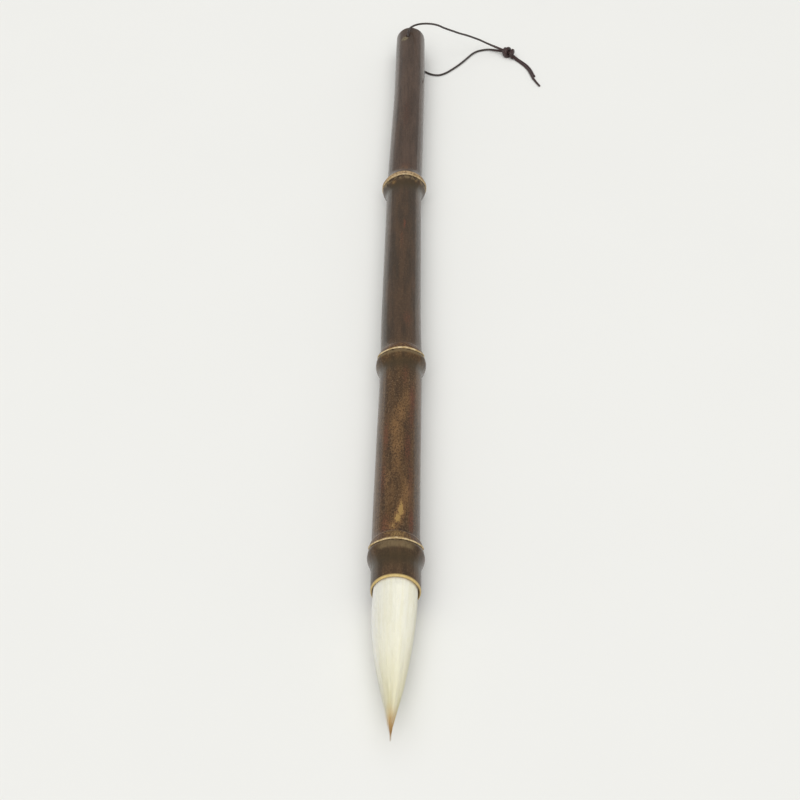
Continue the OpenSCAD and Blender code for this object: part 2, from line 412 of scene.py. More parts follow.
def around(s, radius, turn):
    """Points in metres at arrays of s, radius and turn around the pole's own axis."""
    x = wander(s) + radius * np.sin(turn)
    y = MOUTH_Y + s + lean(s, turn)
    z = AXIS_Z + radius * np.cos(turn)
    return np.stack([x, y, z], axis=-1) * MM


def near_rim(s, rim):
    """1 close to a joint, 0 in the plain pole."""
    return 1 - fade(np.abs(s - rim), 2.5, 7)


def skin_relief(s, turn):
    """Small natural unevenness of the pole's surface, in millimetres."""
    s, turn = np.broadcast_arrays(s, turn)
    shape = s.shape
    circle = np.stack([np.sin(turn), 0 * s, np.cos(turn)], axis=-1).reshape(-1, 3)
    along = s.reshape(-1, 1) * np.array([[0, 1, 0]])
    fibres = wavering(circle * 9 + along * 0.035, 1.0, 1)
    lumps = wavering(circle * 1.6 + along * 0.32, 1.0, 2)
    sway = wavering(circle * 0.7 + along * 0.03, 1.0, 3)
    joint = np.max([near_rim(s.reshape(-1), rim) for rim in RIMS], axis=0)
    relief = FIBRE_RELIEF * fibres
    relief = relief + LUMP_RELIEF * (lumps - 0.5) * joint + SWAY_RELIEF * sway * (1 - joint)
    relief = relief.reshape(shape)
    for joint in range(len(RIMS)):
        behind = s - rim_line(joint, turn) + 0.3
        relief = relief - CUT_DEPTH * np.exp(-((behind / CUT_WIDTH) ** 2))
    return relief * fade(s, 0.6, 4) * (1 - fade(s, POLE_LENGTH - 3, POLE_LENGTH - 1))


def ring_gap(s):
    nearest = min(abs(s - rim - 1) for rim in RIMS)
    return next((gap for reach, gap in RING_GAPS if nearest < reach), PLAIN_GAP)


def pole_stations():
    """Places of the skin's rings: close together at the joints, wider between them."""
    places, s = [], 0.6
    while s < POLE_LENGTH - REAR_ROUND:
        places.append(s)
        s += ring_gap(s)
    return np.array(places)


def pole_outline():
    """(s, radius, is skin) of every ring, from the socket's floor round to the plug's seat."""
    front = [(SOCKET_DEPTH, 0.02), (SOCKET_DEPTH, SOCKET_RADIUS)]
    front += [(s, SOCKET_RADIUS) for s in (8, 5, 3, 1.5, 0.6)]
    front += LIP
    skin = [(s, float(pole_radius(s))) for s in pole_stations()]
    start = POLE_LENGTH - REAR_ROUND
    rear = [
        (start + REAR_ROUND * math.sin(a), REAR_RADIUS - REAR_ROUND * (1 - math.cos(a)))
        for a in np.radians(np.arange(0, 91, 10))
    ]
    rear += [(POLE_LENGTH, PLUG_RADIUS + 0.5), (POLE_LENGTH, PLUG_RADIUS + 0.12)]
    rear += [(POLE_LENGTH - 0.1, PLUG_RADIUS), (POLE_LENGTH - 5, PLUG_RADIUS)]
    rear += [(PLUG_START, PLUG_RADIUS), (PLUG_START, 0.02)]
    sections = ((front, 0), (skin, 1), (rear, 0))
    return np.array([(*point, is_skin) for points, is_skin in sections for point in points])


def drill(piece, place, radius):
    """Cuts an upright round hole right through a piece."""
    bpy.ops.mesh.primitive_cylinder_add(
        vertices=DRILL_SIDES, radius=radius, depth=DRILL_DEPTH, location=place
    )
    cutter = bpy.context.object
    cut = piece.modifiers.new("hole", "BOOLEAN")
    cut.operation = "DIFFERENCE"
    cut.solver = "EXACT"
    cut.object = cutter
    graph = bpy.context.evaluated_depsgraph_get()
    drilled = bpy.data.meshes.new_from_object(piece.evaluated_get(graph))
    piece.modifiers.clear()
    piece.data = drilled
    bpy.data.objects.remove(cutter)


def pole_places(mesh):
    """s, turn and radius of every vertex of a mesh around the pole."""
    points = vertices_of(mesh)
    s = points[:, 1] - MOUTH_Y
    x, z = points[:, 0] - wander(s), points[:, 2] - AXIS_Z
    turn = np.arctan2(x, z)
    return s - lean(s, turn), turn, np.hypot(x, z)


def marks(s, turn, places):
    """Strongest of several soft oval marks at every point."""
    best = np.zeros(len(s))
    for place, angle, half_length, half_turn, strength in places:
        apart = (np.degrees(turn) - angle + 180) % 360 - 180
        reach = ((s - place) / half_length) ** 2 + (apart / half_turn) ** 2
        best = np.maximum(best, strength * np.exp(-reach))
    return best


def scar(sizes, ahead, turn):
    """The golden patch just ahead of a rim, at places so far ahead of it."""
    length, half_turn = sizes
    along = (1 - fade(ahead, length - 0.4, length + 0.3)) * fade(ahead, -0.4, 0.1)
    return along * (1 - fade(np.abs(np.degrees(turn)), half_turn - 14, half_turn + 8))


def bare_mouth(s, turn, radius):
    """How bare the mouth's cut edge is: less so on its inner part at the sides, where it is painted
    darker as shade.
    """
    cut = (1 - fade(s, 0.3, 0.45)) * fade(radius, SOCKET_RADIUS + 0.03, SOCKET_RADIUS + 0.07)
    inner = 1 - fade(radius, SOCKET_RADIUS + 0.15, COLLAR_RADIUS - 0.1)
    # Painted shade: the cut edge's inner part is darker at the sides
    painted_side_shade = fade(np.abs(turn), 0.8, 1.4) * inner
    return cut * (1 - 0.7 * painted_side_shade)


def paint_joints(mesh, s, turn):
    """Marks that each joint leaves on the pole: a scar, painted shade in the groove, and a dark
    zone ahead of them that is partly stain and partly painted shade.
    """
    ahead = [rim_line(joint, turn) - s for joint in range(len(RIMS))]
    # Painted shade in the cut just ahead of each rim
    grooves = [np.exp(-(((a - 0.2) / 0.22) ** 2)) for a in ahead]
    # Dark zone ahead of each joint: partly stain, partly painted shade
    dark_stain_and_shade_zones = [np.exp(-(((rim - s - 4.6) / 2.4) ** 2)) for rim in RIMS]
    paint(mesh, "scar", np.max([scar(*row, turn) for row in zip(SCARS, ahead)], axis=0))
    paint(mesh, "groove_shade", np.max(grooves, axis=0))
    paint(mesh, "dark_stain_and_shade", np.max(dark_stain_and_shade_zones, axis=0))


def paint_pole(mesh):
    s, turn, radius = pole_places(mesh)
    skin = radius > PLUG_RADIUS + 0.6
    paint(mesh, "gold", marks(s, turn, GOLD_MARKS_AND_HIGHLIGHT))
    paint(mesh, "red", marks(s, turn, RED_MARKS_AND_HIGHLIGHT))
    paint(mesh, "bare", bare_mouth(s, turn, radius))
    paint(mesh, "inside", (s < SOCKET_DEPTH + 1) & (radius < SOCKET_RADIUS + 0.03))
    paint(mesh, "cut_end", fade(s, POLE_LENGTH - 0.5, POLE_LENGTH - 0.1) * skin)
    from_chip = np.hypot(radius * np.sin(turn) - CHIP_PLACE[0], s - CHIP_PLACE[1])
    paint(mesh, "chip", np.clip(CHIP_REACH - from_chip, 0, 1) * skin)
    paint(mesh, "internode", np.interp(s, *zip(*INTERNODES)) / 2)
    paint_joints(mesh, s, turn)


def make_pole():
    """The bamboo pole, with its socket, the seat of its end plug and its cross hole."""
    outline = pole_outline()
    turn = turns(POLE_SIDES)[None, :]
    s = np.repeat(outline[:, 0:1], POLE_SIDES, axis=1)
    radius = outline[:, 1:2] + skin_relief(s, turn) * outline[:, 2:3]
    mesh = tube_mesh("pole", around(s, radius, turn + 0 * s))
    pole = new_object("bamboo_pole", mesh)
    drill(pole, LOOP_AXIS * MM, HOLE_RADIUS * MM)
    smooth(pole.data)
    paint_pole(pole.data)
    return pole


# ---- Sheath stubs ----


def stub_section(joint, seed, turn):
    """Cross-section of one sheath stub at every turn: a closed loop of (s, radius) rows."""
    circle = np.stack([np.sin(turn), 0 * turn, np.cos(turn)], axis=-1)
    front = rim_line(joint, turn) + 0.12 * wavering(circle, 1.3, seed)
    reach = STUB_LENGTH * STUB_SHARES[joint]
    back = RIMS[joint] + RIM_TOPS[joint] + reach + 0.25 * wavering(circle, 1.7, seed + 1)
    length = np.maximum(back - front, 0.7)
    lift = 0.05 * wavering(circle, 2.2, seed + 2)
    flare = 0.4 * lift + STUB_FLARES[joint] * fade(np.abs(turn), 0.7, 1.6)
    rim_radius = pole_radius(front) + RIM_STAND + flare
    rear_radius = pole_radius(front + length) + LIP_STAND + lift
    rows = [
        (front + 0.1, rim_radius - 0.62),
        (front, rim_radius - 0.42),
        (front - 0.02, rim_radius - 0.18),
        (front + 0.02, rim_radius - 0.05),
        (front + 0.1, rim_radius + 0.01),
        (front + 0.22, rim_radius),
    ]
    for share in (0.2, 0.33, 0.45, 0.6, 0.75, 0.88):
        s = front + share * length
        stand = RIM_STAND + flare * (1 - share) + (LIP_STAND - RIM_STAND + lift) * share
        rows.append((s, pole_radius(s) + stand))
    rows += [
        (front + length, rear_radius - 0.02),
        (front + length + 0.1, rear_radius - 0.12),
        (front + length + 0.08, rear_radius - 0.34),
        (front + length * 0.6, rim_radius - 0.75),
    ]
    return rows


def paint_stub(mesh, joint):
    s, turn = pole_places(mesh)[:2]
    bare = STUB_BARE[joint]
    rim = 1 - fade(s - rim_line(joint, turn), 0.1, 0.34)
    lip_s = RIM_TOPS[joint] + STUB_LENGTH * STUB_SHARES[joint]
    lip = fade(s - RIMS[joint], lip_s - 0.35, lip_s - 0.05)
    highlight_at_sides = fade(np.abs(turn), 0.45, 0.9)
    paint(mesh, "rim", rim * (1 - 0.6 * bare))
    paint(mesh, "internode", np.full(len(s), RIMS[joint] / POLE_LENGTH))
    paint(mesh, "bare", np.full(len(s), bare))
    # Pale rear lip: its own pale edge all round, with a painted highlight added at the sides
    paint(mesh, "lip", lip * (0.3 + 0.7 * highlight_at_sides))
    paint(mesh, "gold", marks(s, turn, GOLD_MARKS_AND_HIGHLIGHT))


def make_stub(joint):
    """What is left of a leaf sheath: a flared collar with a pale trimmed rim."""
    turn = turns(POLE_SIDES)
    turn = np.arctan2(np.sin(turn), np.cos(turn))
    rows = stub_section(joint, STUB_SEEDS[joint], turn)
    points = np.stack([around(s, radius, turn) for s, radius in rows])
    points[..., 2] = np.maximum(points[..., 2], UNDERSIDE_Z * MM)
    mesh = tube_mesh(STUBS[joint], points, loop=True)
    paint_stub(mesh, joint)
    return new_object(STUBS[joint] + "_collar", mesh)


# ---- The tuft ----


def tuft_outer(t):
    """Radius of the whole tuft at t ahead of the mouth."""
    share = np.clip(np.asarray(t, dtype=float) / TUFT_LENGTH, 0, 1)
    return TUFT_RADIUS * (1 - share**TUFT_POWER) ** TUFT_EXPONENT


def waisted(t):
    """How far the hair is drawn in where it leaves the mouth."""
    return 0.12 * np.exp(-((np.asarray(t, dtype=float) / 2.4) ** 2))


def core_outer(t):
    """Radius of the brown core inside the pale cover hair."""
    t = np.asarray(t, dtype=float)
    share = np.clip(t / (TUFT_LENGTH - BARE_POINT), 0, 1)
    return tuft_outer(t) * (CORE_SHARE_ROOT + (CORE_SHARE_END - CORE_SHARE_ROOT) * share)


# Sides round each hair bundle, and the depth of the grooves combed into it
COVER_SIDES, WAIST_SIDES, CORE_SIDES = 360, 120, 140
COVER_GROOVES, WAIST_GROOVES, CORE_GROOVES = 0.02, 0.02, 0.018

# Cover hair: its radius under the binding, where its body ends, and its locks round the point
BOUND_RADIUS = 4.15
COVER_END = 35.5
LOCKS_END = 31.2
LOCK_STEP = 0.16

# Where the core's body comes out to the tuft's own outline, and how far inside it stays
CORE_BARE_FROM = 27
CORE_INSET = 0.06

# Single hairs: where they start and end, how far they stand off the tuft, how deep their roots lie
COVER_HAIRS = dict(count=1300, start=-1.5, ends=(24, 36.2), lift=(-0.03, 0.012), buried=0.0)
CORE_HAIRS = dict(count=240, start=25, ends=(35.2, 37.4), lift=(-0.02, 0.03), buried=0.6)
TUFT_SEED = 7
HAIR_THICKNESS = 0.045
HAIR_RINGS = 15
STRAY_SHARE = 0.03

# Sideways drift of the soft tuft from the pole's axis: (t, offset toward +X)
VEER = ((-2, 0), (2, -0.12), (9, -0.3), (17, -0.36), (26, -0.22), (37, -0.3))


def veer(t):
    return np.interp(t, *zip(*VEER))


def in_tuft(t, radius, turn):
    """Points in metres at arrays of t, radius and turn around the tuft's line."""
    x = veer(t) + radius * np.sin(turn)
    z = AXIS_Z + radius * np.cos(turn)
    return np.stack([x, MOUTH_Y - t + 0 * x, z], axis=-1) * MM


def bend_with_tuft(piece):
    """Bakes a tuft piece's placement into its mesh; the piece isn't bent."""
    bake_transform(piece)


def tuft_places(mesh):
    points = vertices_of(mesh)
    t = MOUTH_Y - points[:, 1]
    return t, np.arctan2(points[:, 0] - veer(t), points[:, 2] - AXIS_Z)


def grooved_body(name, ts, radii, sides, depth, rng):
    """A hair bundle: its surface is combed into fine lengthwise grooves."""
    turn = turns(sides)[None, :]
    grooves = rng.random((1, sides)) + 0.6 * np.sin(turn * 23 + 2 * np.sin(turn * 5))
    broad = 0.5 * np.sin(turn * 11 + 1) + 0.5 * np.sin(turn * 7 + 3)
    drift = 0.5 + 0.5 * np.sin(ts[:, None] * 0.35 + 9 * np.sin(turn * 3))
    relief = -depth * (grooves * (0.4 + 0.3 * drift) + 0.5 * broad)
    slim = np.clip(radii[:, None] / 1.5, 0, 1)
    t, turn = np.broadcast_arrays(ts[:, None], turn)
    mesh = tube_mesh(name, in_tuft(t, radii[:, None] + relief * slim, turn))
    paint(mesh, "ahead", tuft_places(mesh)[0] / TUFT_LENGTH)
    paint(mesh, "tint", np.tile(rng.random(sides), len(ts)))
    return new_object(name, mesh)


def make_cover_body(rng):
    """The pale cover hair, ending in uneven locks round the brown point."""
    turn = turns(COVER_SIDES)
    ts = np.concatenate([np.linspace(-ROOT_DEPTH, -0.2, 12), np.linspace(0, COVER_END, 150)])
    root = np.interp(ts, [-ROOT_DEPTH, -7.0, -6.6], [BOUND_RADIUS, BOUND_RADIUS, TUFT_RADIUS])
    drawn_in = waisted(ts) * fade(ts, -1.1, -0.4)
    radii = np.where(ts < 0, root, tuft_outer(ts)) - drawn_in
    body = grooved_body("cover_hair_body", ts, radii, COVER_SIDES, COVER_GROOVES, rng)
    ends = LOCKS_END + 1.6 * np.sin(turn * 3 + 1) + 1.0 * np.sin(turn * 8)
    ends = ends + 1.4 * rng.random(COVER_SIDES)
    sink = fade(ts[:, None], ends[None, :] - 1.2, ends[None, :]) * LOCK_STEP
    move_inward(body.data, sink, COVER_SIDES)
    return body


def move_inward(mesh, amounts, sides):
    """Moves each vertex toward the tuft's line by its amount in millimetres."""
    points = vertices_of(mesh).reshape(-1, sides, 3)
    t = MOUTH_Y - points[:, :, 1]
    x, z = points[:, :, 0] - veer(t), points[:, :, 2] - AXIS_Z
    radius = np.maximum(np.hypot(x, z), 1e-4)
    kept = np.maximum(radius - amounts, 0.3 * radius) / radius
    points[:, :, 0] = veer(t) + x * kept
    points[:, :, 2] = AXIS_Z + z * kept
    mesh.vertices.foreach_set("co", (points * MM).ravel())
    mesh.update()


def make_core_body(rng):
    """The brown core hair, from its root in the socket to the bare point."""
    hidden = np.linspace(-ROOT_DEPTH, CORE_BARE_FROM, 40)
    ts = np.concatenate([hidden, np.linspace(CORE_BARE_FROM + 0.3, TUFT_LENGTH, 46)])
    bare = np.maximum(tuft_outer(ts) - CORE_INSET, 0.012)
    radii = np.where(ts < CORE_BARE_FROM, core_outer(ts), bare)
    radii = np.where(ts < 0, core_outer(0), radii)
    return grooved_body("core_hair_body", ts, radii, CORE_SIDES, CORE_GROOVES, rng)


def make_waist_body(rng):
    """Short packing hair that fills the tuft's waist between core and cover."""
    ts = np.linspace(-ROOT_DEPTH, WAIST_REACH, 30)
    full = core_outer(WAIST_REACH) + 0.02
    tapered = WAIST_RADIUS + (full - WAIST_RADIUS) * ts / WAIST_REACH
    radii = np.where(ts < 0, WAIST_RADIUS, tapered)
    return grooved_body("waist_hair_body", ts, radii, WAIST_SIDES, WAIST_GROOVES, rng)


def hair_strip(start, end, turn, lift, thickness, stray, buried, rng):
    """One hair as a three-sided tapering tube: its points, and the t of each of its rings."""
    share = 1 - (1 - np.linspace(0, 1, HAIR_RINGS)) ** 1.25
    t = start + (end - start) * share
    sweep = turn + 0.05 * np.sin(t * 0.25 + rng.random() * TURN) * (1 - share * 0.6)
    sweep = sweep + stray * 0.3 * share**4 * (rng.random() - 0.5)
    radius = tuft_outer(t) - waisted(t) + lift + stray * share**3 * 0.45
    radius = np.maximum(radius - buried * (1 - share) ** 2, 0.05)
    half = thickness * (1 - 0.75 * share**2)
    corners = []
    for k in range(3):
        angle = TURN * k / 3
        across = half * math.cos(angle) / np.maximum(radius, 0.08)
        corners.append(in_tuft(t, radius + half * math.sin(angle), sweep + across))
    return np.stack(corners, axis=1), t


def make_hairs(name, rng, count, start, ends, lift, buried):
    """Many single hairs lying along the tuft, as one mesh."""
    points, faces, ts, tints = [], [], [], []
    first = 0
    for i in range(count):
        end = ends[0] + (ends[1] - ends[0]) * rng.random() ** 0.6
        stray = rng.random() if rng.random() < STRAY_SHARE else 0.0
        turn = TURN * (i + rng.random()) / count
        height = lift[0] + (lift[1] - lift[0]) * rng.random()
        width = HAIR_THICKNESS * (0.75 + 0.5 * rng.random())
        strip, t = hair_strip(start, end, turn, height, width, stray, buried, rng)
        rings, sides = strip.shape[:2]
        points.append(strip.reshape(-1, 3))
        faces.append(tube_faces(rings, sides, first))
        ts.append(np.repeat(t, sides))
        tints.append(np.full(rings * sides, rng.random()))
        first += rings * sides
    mesh = bpy.data.meshes.new(name)
    mesh.from_pydata(np.concatenate(points).tolist(), [], np.concatenate(faces).tolist())
    smooth(mesh)
    paint(mesh, "ahead", np.concatenate(ts) / TUFT_LENGTH)
    paint(mesh, "tint", np.concatenate(tints))
    return new_object(name, mesh)


# ---- The hanging loop ----

CORD_DIAMETER = 0.65
CORD_PLIES = 3
CORD_LAY = 2.4
CORD_SIDES = 18
CORD_STEP = 0.16

# Routes of the two strands, as in the CAD source: right of the axis, behind the hole, height
UPPER_ROUTE = (
    (-0.8, 0, 6.25), (-0.8, 0, 8.2), (-0.8, 0, 9.8), (-0.8, 0.15, 10.7),
    (-0.8, 0.7, 11.4), (-0.75, 1.6, 11.7), (-0.6, 2.5, 11.8), (-0.25, 3.35, 11.9),
    (0.35, 4, 12.1), (1.2, 4.2, 12.5), (2.2, 3.9, 13), (3.4, 3.2, 13.6),
    (4.8, 2.4, 14.1), (6.3, 1.7, 14.4), (7.8, 1.1, 14.5), (9.4, 0.8, 14.2),
    (11, 0.9, 13.4), (12.7, 1.4, 12.5), (14.3, 2.1, 11.6), (15.8, 3, 10.6),
    (17.3, 4.1, 9.6), (18.8, 5.3, 8.6), (20.3, 6.5, 7.5), (21.8, 7.6, 6.4),
    (23.4, 8.6, 5.3), (25.1, 9.2, 4.2), (26.9, 9.5, 3.2), (28.7, 9.3, 2.5),
    (30.5, 8.7, 2), (32.1, 7.8, 1.8), (33.6, 6.6, 1.6), (34.7, 5.4, 1.1),
    (35.8, 3.9, 0.6), (37, 2.3, 0.4), (38.1, 0.5, 0.4), (39, -1.3, 0.4),
    (39.7, -3.2, 0.4), (40.2, -5.1, 0.4), (40.6, -7, 0.4), (41, -8.9, 0.4),
    (41.6, -10.8, 0.4), (42.3, -12.7, 0.4), (43, -14.5, 0.4),
)  # fmt: skip
LOWER_ROUTE = (
    (-0.8, 0, 6.25), (-0.8, 0, 4.5), (-0.8, 0, 2.9), (-0.7, -0.1, 1.7), (-0.2, -0.5, 0.8),
    (0.7, -1.3, 0.4), (2, -2.4, 0.4), (3.4, -3.6, 0.4), (4.8, -5, 0.4), (6.2, -6.4, 0.4),
    (7.9, -7.4, 0.4), (9.7, -7.5, 0.4), (11.3, -6.6, 0.4), (12.7, -5.2, 0.4),
    (13.9, -3.7, 0.4), (15.1, -2.1, 0.4), (16.2, -0.5, 0.4), (17.3, 1.2, 0.4),
    (18.3, 2.9, 0.4), (19.3, 4.7, 0.4), (20.3, 6.5, 0.4), (21.4, 8.2, 0.4),
    (22.8, 9.7, 0.4), (24.6, 10.7, 0.4), (26.6, 11, 0.5), (28.5, 10.5, 0.6),
    (30.2, 9.4, 0.9), (31.8, 8.2, 1.2), (33.2, 7, 1.4), (34.9, 5.7, 1),
    (36.4, 4, 0.6), (37.7, 2.5, 0.4), (38.8, 0.8, 0.4), (39.7, -1, 0.4),
    (40.4, -2.9, 0.4), (40.9, -4.8, 0.4), (41.3, -6.7, 0.4), (41.6, -8, 0.4),
)  # fmt: skip
KNOT_CENTRE = (33.4, 6.8, 1.45)
KNOT_HEADING_DEG = -42
KNOT_LENGTH = 3.5
KNOT_TURNS = 2.1
KNOT_THICKENING = 1.3

# The wraps of the knot: how far each lies along the knot's line, and where it starts round it
KNOT_WRAPS = ((-0.4, 0.4), (0.1, 2.4), (0.45, 4.6))

# Where the cord turns worn, how much thicker it is there, and how much its lower end frays
WORN_FROM = (26, 30)
WORN_SWELL = 0.22
END_SWELL = 0.35

# Relief of the plies: radius in the valleys and the rise between them, as shares
PLY_VALLEY = 0.86
PLY_RISE = 0.17
SPLINE_STEPS = 12


def smooth_path(route, step):
    """A soft curve through the route's points, in millimetres, with a point every step."""
    points = np.array(route, dtype=float)
    padded = np.vstack([2 * points[0] - points[1], points, 2 * points[-1] - points[-2]])
    dense = []
    for i in range(1, len(padded) - 2):
        before, here, there, beyond = padded[i - 1 : i + 3]
        for u in np.linspace(0, 1, SPLINE_STEPS, endpoint=False):
            a = 2 * here
            b = (there - before) * u
            c = (2 * before - 5 * here + 4 * there - beyond) * u**2
            d = (3 * here - before - 3 * there + beyond) * u**3
            dense.append((a + b + c + d) / 2)
    dense = np.array(dense + [points[-1]])
    run = run_along(dense)
    count = max(int(run[-1] / step), 8)
    even = np.linspace(0, run[-1], count + 1)
    return np.stack([np.interp(even, run, dense[:, k]) for k in range(3)], axis=1)


def carried_sides(path):
    """Two directions across the path at every point, carried along without twisting."""
    ways = np.gradient(path, axis=0)
    ways /= np.linalg.norm(ways, axis=1)[:, None]
    side = np.array([0.0, 1.0, 0.0])
    if abs(ways[0] @ side) > 0.9:
        side = np.array([1.0, 0.0, 0.0])
    firsts = []
    for way in ways:
        side = side - (side @ way) * way
        side /= np.linalg.norm(side)
        firsts.append(side)
    firsts = np.array(firsts)
    return firsts, np.cross(ways, firsts)


def twisted_cord(name, path, radius, swell_ends=0.0):
    """A laid cord along a path: plies wind round each other, and the surface shows them."""
    first, second = carried_sides(path)
    run = run_along(path)[:, None]
    turn = turns(CORD_SIDES)[None, :]
    winding = turn - TURN * run / CORD_LAY
    ply = np.abs(np.cos(winding * CORD_PLIES / 2))
    thick = radius * (PLY_VALLEY + PLY_RISE * ply**0.6)
    from_end = run[-1] - run
    worn = fade(path[:, None, 0], *WORN_FROM) + 0 * turn
    thick = thick * (1 + WORN_SWELL * worn * fade(from_end, 1, 6))
    thick = thick * (1 + swell_ends * np.exp(-((from_end - 0.5) ** 2) / 0.12))
    thick = thick * np.sqrt(np.clip(from_end / 0.18, 0.02, 1))
    across = first[:, None] * np.cos(turn)[..., None] + second[:, None] * np.sin(turn)[..., None]
    points = (path[:, None] + thick[..., None] * across) * MM
    points[..., 2] = np.maximum(points[..., 2], UNDERSIDE_Z * MM)
    mesh = tube_mesh(name, points)
    paint(mesh, "ply", ply.ravel())
    paint(mesh, "worn", worn.ravel())
    return mesh


def make_strand(name, route, node, swell_ends):
    path = smooth_path(route, CORD_STEP) + np.array([0, LOOP_AXIS.y, 0])
    strand = new_object(name, twisted_cord(name, path, CORD_DIAMETER / 2, swell_ends))
    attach(strand, "hanging_loop")
    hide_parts(node)
    return strand, path


def knot_wrap(offset, phase):
    """Path of one cord wound twice round the knot's line, bulging in the middle."""
    u = np.linspace(0, 1, 15)
    angle = phase + u * TURN * KNOT_TURNS
    along = -KNOT_LENGTH / 2 + KNOT_LENGTH * u + offset + 0.4 * np.sin(angle * 0.5)
    radius = 0.45 + np.sin(math.pi * u) ** 0.45
    return np.stack([along, radius * np.cos(angle), radius * np.sin(angle)], axis=1)


def make_knot():
    """The overhand knot that ties both strands: doubled cord wound round itself."""
    place = Matrix.Translation(Vector(KNOT_CENTRE) + Vector((0, LOOP_AXIS.y, 0)))
    place = place @ Matrix.Rotation(math.radians(KNOT_HEADING_DEG), 4, "Z")
    work = bmesh.new()
    for offset, phase in KNOT_WRAPS:
        path = smooth_path(knot_wrap(offset, phase), CORD_STEP)
        moved = np.array([place @ Vector(p) for p in path])
        work.from_mesh(twisted_cord("knot_wrap", moved, CORD_DIAMETER / 2 * KNOT_THICKENING))
    mesh = bpy.data.meshes.new("loop_knot_wraps")
    work.to_mesh(mesh)
    work.free()
    smooth(mesh)
    knot = new_object("loop_knot_wraps", mesh)
    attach(knot, "hanging_loop")
    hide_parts("loop_knot")
    return knot


# ---- Materials ----


class Shader:
    """A material's node tree, with short calls for the nodes used here."""

    def __init__(self, name, roughness, **settings):
        self.material = bpy.data.materials.new(name)
        self.material.use_nodes = True
        self.nodes = self.material.node_tree.nodes
        self.links = self.material.node_tree.links
        self.nodes.clear()
        self.surface = self.add("BsdfPrincipled", Roughness=roughness, **settings)
        self.add("OutputMaterial", Surface=self.surface.outputs["BSDF"])
        self.coordinates = self.add("TexCoord").outputs["Object"]
        self.base = None

    def feed(self, socket, value):
        """Links an output to a socket, or sets the socket to a plain value."""
        if isinstance(value, bpy.types.NodeSocket):
            self.links.new(value, socket)
        elif isinstance(value, tuple) and len(value) == 3 and socket.type == "RGBA":
            socket.default_value = (*value, 1)
        else:
            socket.default_value = value

    def add(self, kind, **inputs):
        """A new node whose inputs are fed by name."""
        node = self.nodes.new("ShaderNode" + kind)
        for socket, value in inputs.items():
            self.feed(node.inputs[socket.replace("_", " ")], value)
        return node

    def stretched(self, across, along):
        """Object coordinates as features per millimetre across and along the brush."""
        scale = (across / MM, along / MM, across / MM)
        return self.add("Mapping", Vector=self.coordinates, Scale=scale).outputs["Vector"]

    def noise(self, across, along, detail=3.0, roughness=0.55, distortion=0.0):
        form = dict(Detail=detail, Roughness=roughness, Distortion=distortion)
        vector = self.stretched(across, along)
        return self.add("TexNoise", Vector=vector, Scale=1.0, **form).outputs["Fac"]

    def cells(self, across, along):
        """Distance to the nearest of many scattered points."""
        vector = self.stretched(across, along)
        return self.add("TexVoronoi", Vector=vector, Scale=1.0).outputs["Distance"]

    def attribute(self, name):
        node = self.add("Attribute")
        node.attribute_name = name
        return node.outputs["Fac"]

    def step(self, value, low, high, bottom=0.0, top=1.0):
        """A smooth step from bottom at low to top at high."""
        reach = dict(From_Min=low, From_Max=high, To_Min=bottom, To_Max=top)
        node = self.add("MapRange", Value=value, **reach)
        node.interpolation_type = "SMOOTHSTEP"
        return node.outputs["Result"]

    def math(self, operation, a, b=0.0):
        node = self.add("Math")
        node.operation = operation
        self.feed(node.inputs[0], a)
        self.feed(node.inputs[1], b)
        return node.outputs["Value"]

    def times(self, a, b):
        return self.math("MULTIPLY", a, b)

    def broken(self, mark, texture, *steps):
        """A painted mark, broken up by a texture."""
        return self.times(self.attribute(mark), self.step(texture, *steps))

    def mix(self, a, b, share):
        """Colour a, turning into colour b as share goes from 0 to 1."""
        node = self.add("Mix", Factor=share)
        node.data_type = "RGBA"
        self.feed(node.inputs[6], a)
        self.feed(node.inputs[7], b)
        return node.outputs[2]

    def layer(self, colour, share):
        """Lays a colour over the material's colour so far."""
        self.base = self.mix(self.base, colour, share)

    def finish(self):
        self.feed(self.surface.inputs["Base Color"], self.base)
        return self.material

    def rough(self, value):
        self.feed(self.surface.inputs["Roughness"], value)

    def bump(self, height, depth):
        """Relief of about depth millimetres."""
        node = self.add("Bump", Distance=depth * MM, Height=height)
        self.feed(self.surface.inputs["Normal"], node.outputs["Normal"])


# Stain of the front, middle and rear internode: a darker and a lighter brown for each
STAIN_FRONT = ((0.058, 0.031, 0.013), (0.108, 0.056, 0.021))
STAIN_MIDDLE = ((0.044, 0.029, 0.018), (0.074, 0.043, 0.024))
STAIN_REAR = ((0.052, 0.033, 0.023), (0.080, 0.050, 0.035))
DARK_FIBRES = (0.020, 0.012, 0.007)

# What lies in the stain, together with painted shade at the joints and a painted highlight behind
# the rear joint
LIGHT_SPECKLE = (0.185, 0.118, 0.062)
DARK_SPECKLE = (0.026, 0.014, 0.008)
RED_MARK = (0.135, 0.042, 0.022)
GOLD_GLOW = (0.24, 0.127, 0.048)
GOLD_MARK = (0.33, 0.205, 0.068)
PALE_FLECKS = (0.30, 0.19, 0.11)
# Dark zone ahead of each joint: partly stain, partly painted shade
DARK_STAIN_AND_SHADE = (0.046, 0.031, 0.013)
JOINT_SCAR = (0.185, 0.132, 0.066)
# Painted shade in the groove at each rim
JOINT_GROOVE_SHADE = (0.03, 0.016, 0.007)

# Where the bamboo is bare or cut: a darker and a lighter colour
CHIPPED = (0.24, 0.20, 0.10)
SAWN_END = ((0.012, 0.006, 0.004), (0.07, 0.035, 0.018))
BARE_MOUTH = ((0.40, 0.27, 0.085), (0.68, 0.52, 0.23))
SOCKET_WALL = (0.55, 0.34, 0.13)

# The gloss of the lacquer on the pole, and of the duller sheath scars
POLE_GLOSS = dict(Coat_Weight=0.5, Coat_Roughness=0.07, Specular_IOR_Level=0.1)
SHEATH_GLOSS = dict(Coat_Weight=0.3, Coat_Roughness=0.15, Specular_IOR_Level=0.1)

